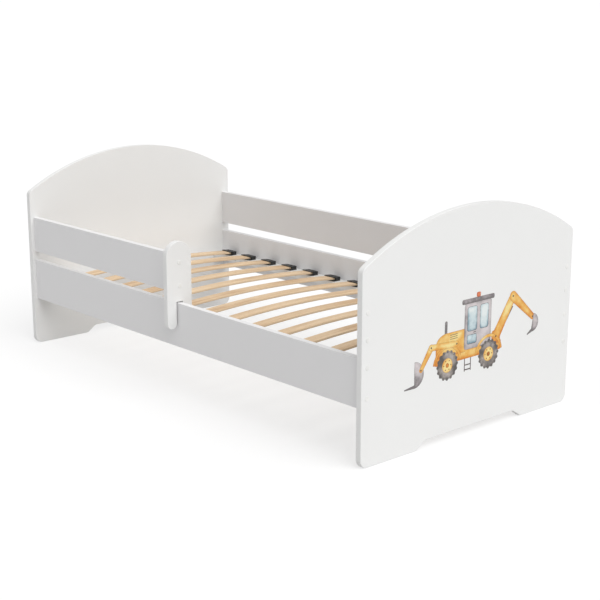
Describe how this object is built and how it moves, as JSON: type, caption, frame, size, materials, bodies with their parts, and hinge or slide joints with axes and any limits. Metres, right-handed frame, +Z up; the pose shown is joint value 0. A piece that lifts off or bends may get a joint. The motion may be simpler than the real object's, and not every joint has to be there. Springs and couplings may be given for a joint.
{
  "type": "toddler bed",
  "caption": "White toddler bed: arched end panels with cut-away feet, side rails, a back board, a guard board on a hook-over post, and bent beech slats in black holders.",
  "frame": {"origin": "on the floor, under the middle of the bed's whole box", "axes": "+X from the headboard to the footboard, -Y the guard side, +Z up"},
  "size_m": [1.4378, 0.78, 0.574],
  "materials": {
    "white_board": "satin white melamine face and edge band",
    "cleat_strip": "plain white strip",
    "beech": "fine-sanded bent laminated beech",
    "holder_plastic": "black moulded, fine texture",
    "zinc_steel": "zinc plated",
    "cap_plastic": "white satin"
  },
  "bodies": {
    "root": {"headboard": "white_board", "footboard": "white_board", "front_rail": "white_board", "back_rail": "white_board", "back_upper_board": "white_board", "guard_board": "white_board", "guard_post": "white_board", "front_cleat": "cleat_strip", "back_cleat": "cleat_strip", "slat_01": "beech", "slat_02": "beech", "slat_03": "beech", "slat_04": "beech", "slat_05": "beech", "slat_06": "beech", "slat_07": "beech", "slat_08": "beech", "slat_09": "beech", "slat_10": "beech", "slat_11": "beech", "slat_12": "beech", "slat_13": "beech", "slat_14": "beech", "front_holder_01": "holder_plastic", "front_holder_02": "holder_plastic", "front_holder_03": "holder_plastic", "front_holder_04": "holder_plastic", "front_holder_05": "holder_plastic", "front_holder_06": "holder_plastic", "front_holder_07": "holder_plastic", "front_holder_08": "holder_plastic", "front_holder_09": "holder_plastic", "front_holder_10": "holder_plastic", "front_holder_11": "holder_plastic", "front_holder_12": "holder_plastic", "front_holder_13": "holder_plastic", "front_holder_14": "holder_plastic", "back_holder_01": "holder_plastic", "back_holder_02": "holder_plastic", "back_holder_03": "holder_plastic", "back_holder_04": "holder_plastic", "back_holder_05": "holder_plastic", "back_holder_06": "holder_plastic", "back_holder_07": "holder_plastic", "back_holder_08": "holder_plastic", "back_holder_09": "holder_plastic", "back_holder_10": "holder_plastic", "back_holder_11": "holder_plastic", "back_holder_12": "holder_plastic", "back_holder_13": "holder_plastic", "back_holder_14": "holder_plastic", "connector_screws": "zinc_steel", "cleat_screws": "zinc_steel", "cover_caps": "cap_plastic"}
  },
  "joints": []
}
